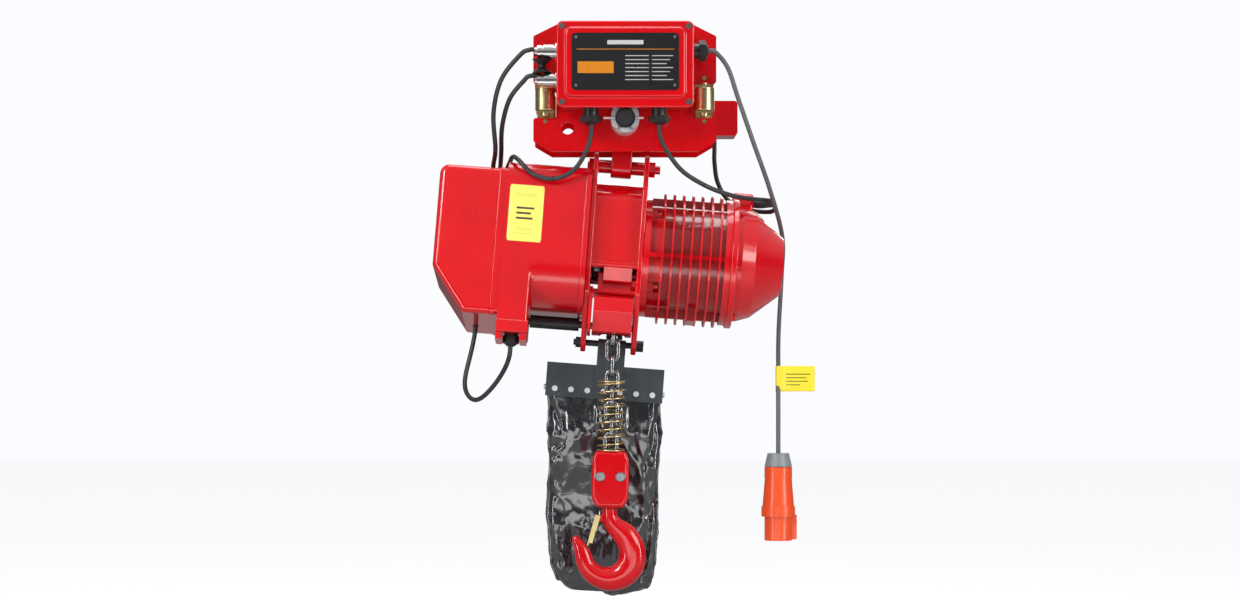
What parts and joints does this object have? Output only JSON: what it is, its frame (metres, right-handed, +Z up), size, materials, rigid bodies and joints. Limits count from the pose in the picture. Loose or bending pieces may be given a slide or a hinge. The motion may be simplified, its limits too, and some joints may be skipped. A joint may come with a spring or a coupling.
{
  "type": "electric_chain_hoist",
  "caption": "Red electric chain hoist on a motorised beam trolley, with load hook, buffer spring, chain bag and supply plug",
  "frame": {"origin": "On the beam's running surface under the wheels' treads, midway between the wheels along the beam and midway between the side plates.", "axes": "+X along the beam towards the hoist motor's end, +Y towards the trolley's drive side, +Z up. The hoist hangs as an empty one does, turned 4.2 degrees about the load shaft and 8.5 degrees about its suspension pin."},
  "size_m": [0.7467, 0.4402, 1.1042],
  "materials": {
    "red_paint": "gloss",
    "red_casting": "orange-peel gloss over sand casting",
    "zinc_yellow": "yellow passivated zinc",
    "steel": "machined",
    "black_plastic": "moulded",
    "black_steel": "satin",
    "chain_steel": "hardened, oiled",
    "spring_brass": "yellow passivated zinc",
    "nickel": "satin nickel",
    "grey_cable": "matt",
    "plug_orange": "moulded",
    "black_pvc": "glossy coated fabric, wrinkled",
    "nameplate": "printed, scratched",
    "copper": "enamelled winding",
    "friction": "brake lining"
  },
  "bodies": {
    "trolley": {"front_side_plate": "red_paint", "rear_side_plate": "red_paint", "load_shaft": "black_steel", "load_shaft_nuts": "steel", "wheel_axles": "steel", "guide_roller_brackets": "zinc_yellow", "travel_gearbox_housing": "red_casting", "travel_motor_housing": "red_casting", "trolley_control_box": "red_paint", "trolley_control_lid": "red_paint", "lid_screws": "black_steel", "nameplate": "nameplate", "cable_entries": "black_plastic", "hoist_cables": "grey_cable", "supply_cable": "grey_cable", "supply_plug": "plug_orange"},
    "wheel_front_left_body": {"wheel_front_left": "steel"},
    "wheel_front_right_body": {"wheel_front_right": "steel"},
    "wheel_rear_left_body": {"wheel_rear_left": "steel"},
    "wheel_rear_right_body": {"wheel_rear_right": "steel"},
    "roller_front_left": {"guide_roller_front_left": "zinc_yellow"},
    "roller_front_right": {"guide_roller_front_right": "zinc_yellow"},
    "roller_rear_left": {"guide_roller_rear_left": "zinc_yellow"},
    "roller_rear_right": {"guide_roller_rear_right": "zinc_yellow"},
    "travel_output": {"travel_output_shaft": "steel"},
    "travel_intermediate": {"travel_intermediate_gear": "steel"},
    "travel_motor_rotor": {"travel_rotor": "steel"},
    "yoke": {"suspension_yoke": "red_casting"},
    "hoist": {"left_frame_plate": "red_paint", "right_frame_plate": "red_paint", "suspension_pin": "black_steel", "sheave_housing": "red_casting", "gear_case": "red_casting", "gear_case_cover": "red_casting", "electric_box_cover": "red_paint", "electric_panel": "black_plastic", "motor_housing": "red_casting", "motor_stator": "copper", "motor_end_cover": "red_casting", "brake_coil": "copper", "main_bearings": "steel", "chain_guide": "red_casting", "cross_bolt": "black_steel", "loop_cable": "grey_cable"},
    "rotor": {"motor_rotor": "steel", "brake_disc": "friction"},
    "armature": {"brake_armature": "steel"},
    "countershaft": {"countershaft_gear": "steel"},
    "sheave": {"load_sheave": "steel", "load_gear": "steel"},
    "load_run": {"load_chain": "chain_steel"},
    "slack_run": {"slack_chain": "chain_steel"},
    "hook_assembly": {"hook_chain": "chain_steel", "buffer_spring": "spring_brass", "hook_block": "red_casting"},
    "hook_body": {"hook": "red_casting"},
    "latch_body": {"hook_latch": "zinc_yellow"},
    "limit": {"limit_lever": "red_casting"},
    "bag": {"bag_frame": "black_steel", "chain_bag": "black_pvc"}
  },
  "joints": [
    {"name": "wheel_rear_left_spin", "type": "hinge", "parent": "trolley", "child": "wheel_rear_left_body", "pos_m": [-0.0775, 0.0365, 0.05], "axis": [0, 1, 0], "continuous": true},
    {"name": "wheel_rear_right_spin", "type": "hinge", "parent": "trolley", "child": "wheel_rear_right_body", "pos_m": [0.0775, 0.0365, 0.05], "axis": [0, 1, 0], "continuous": true},
    {"name": "wheel_front_left_spin", "type": "hinge", "parent": "trolley", "child": "wheel_front_left_body", "pos_m": [-0.0775, -0.0365, 0.05], "axis": [0, 1, 0], "continuous": true},
    {"name": "wheel_front_right_spin", "type": "hinge", "parent": "trolley", "child": "wheel_front_right_body", "pos_m": [0.0775, -0.0365, 0.05], "axis": [0, 1, 0], "continuous": true},
    {"name": "roller_front_left_spin", "type": "hinge", "parent": "trolley", "child": "roller_front_left", "pos_m": [-0.153, -0.074, -0.0085], "axis": [0, 0, 1], "continuous": true},
    {"name": "roller_front_right_spin", "type": "hinge", "parent": "trolley", "child": "roller_front_right", "pos_m": [0.153, -0.074, -0.0085], "axis": [0, 0, 1], "continuous": true},
    {"name": "roller_rear_left_spin", "type": "hinge", "parent": "trolley", "child": "roller_rear_left", "pos_m": [-0.153, 0.074, -0.0085], "axis": [0, 0, 1], "continuous": true},
    {"name": "roller_rear_right_spin", "type": "hinge", "parent": "trolley", "child": "roller_rear_right", "pos_m": [0.153, 0.074, -0.0085], "axis": [0, 0, 1], "continuous": true},
    {"name": "travel_output_spin", "type": "hinge", "parent": "trolley", "child": "travel_output", "pos_m": [0, 0.09, 0.05], "axis": [0, 1, 0], "continuous": true},
    {"name": "travel_intermediate_spin", "type": "hinge", "parent": "trolley", "child": "travel_intermediate", "pos_m": [0.06792, 0.106, 0.03306], "axis": [0, 1, 0], "continuous": true},
    {"name": "travel_motor_spin", "type": "hinge", "parent": "trolley", "child": "travel_motor_rotor", "pos_m": [0.11988, 0.18, 0.00307], "axis": [0, 1, 0], "continuous": true},
    {"name": "hoist_swing", "type": "hinge", "parent": "trolley", "child": "yoke", "pos_m": [0, 0, -0.05], "axis": [0, 1, 0], "range_deg": [-12, 8], "deforming": ["hoist_cables", "supply_cable"]},
    {"name": "hoist_pitch", "type": "hinge", "parent": "yoke", "child": "hoist", "pos_m": [-0.00615, 0, -0.13377], "axis": [0.9973, 0, -0.0732], "range_deg": [-6, 6], "deforming": ["hoist_cables", "supply_cable"]},
    {"name": "rotor_spin", "type": "hinge", "parent": "hoist", "child": "rotor", "pos_m": [0.11105, 0.01463, -0.31287], "axis": [0.9973, 0, -0.0732], "range_deg": [-1800, 10800], "deforming": ["load_chain", "slack_chain", "hook_chain"]},
    {"name": "brake_release", "type": "slide", "parent": "hoist", "child": "armature", "axis": [0.9973, 0, -0.0732], "range_m": [-0.0006, 0.0006]},
    {"name": "countershaft_spin", "type": "hinge", "parent": "hoist", "child": "countershaft", "pos_m": [-0.12359, -0.02487, -0.231], "axis": [0.9973, 0, -0.0732], "range_deg": [-1355, 230]},
    {"name": "sheave_spin", "type": "hinge", "parent": "hoist", "child": "sheave", "pos_m": [-0.01063, 0.01463, -0.30393], "axis": [0.9973, 0, -0.0732], "range_deg": [-39.5, 227]},
    {"name": "load_chain_run", "type": "slide", "parent": "hoist", "child": "load_run", "axis": [0.0724, 0.1478, 0.9864], "range_m": [-0.152, 0.027]},
    {"name": "slack_chain_run", "type": "slide", "parent": "hoist", "child": "slack_run", "axis": [0.0724, 0.1478, 0.9864], "range_m": [-0.027, 0.152]},
    {"name": "chain_sway", "type": "hinge", "parent": "load_run", "child": "hook_assembly", "pos_m": [-0.02319, -0.05105, -0.46991], "axis": [0, 1, 0], "range_deg": [-8, 8]},
    {"name": "hook_swivel", "type": "hinge", "parent": "hook_assembly", "child": "hook_body", "pos_m": [-0.02883, -0.05105, -0.79287], "axis": [0.0175, 0, 0.9998], "continuous": true},
    {"name": "hook_latch_turn", "type": "hinge", "parent": "hook_body", "child": "latch_body", "pos_m": [-0.0532, -0.05105, -0.81394], "axis": [0, 1, 0], "range_deg": [-30, 0]},
    {"name": "limit_lever_turn", "type": "hinge", "parent": "hoist", "child": "limit", "pos_m": [-0.0888, -0.00651, -0.44], "axis": [0.9973, 0, -0.0732], "range_deg": [-2.5, 2]},
    {"name": "bag_swing", "type": "hinge", "parent": "hoist", "child": "bag", "pos_m": [-0.03143, -0.01153, -0.47793], "axis": [0.9973, 0, -0.0732], "range_deg": [-2, 10]}
  ],
  "couplings": [
    {"joint": "wheel_rear_left_spin", "follows": "travel_motor_spin", "ratio": -0.028986},
    {"joint": "wheel_rear_right_spin", "follows": "travel_motor_spin", "ratio": -0.028986},
    {"joint": "travel_output_spin", "follows": "travel_motor_spin", "ratio": 0.083333},
    {"joint": "travel_intermediate_spin", "follows": "travel_motor_spin", "ratio": -0.25},
    {"joint": "countershaft_spin", "follows": "rotor_spin", "ratio": -0.125},
    {"joint": "sheave_spin", "follows": "rotor_spin", "ratio": 0.020833},
    {"joint": "load_chain_run", "follows": "rotor_spin", "m_per_rad": -0.00079577},
    {"joint": "slack_chain_run", "follows": "rotor_spin", "m_per_rad": 0.00079577}
  ]
}
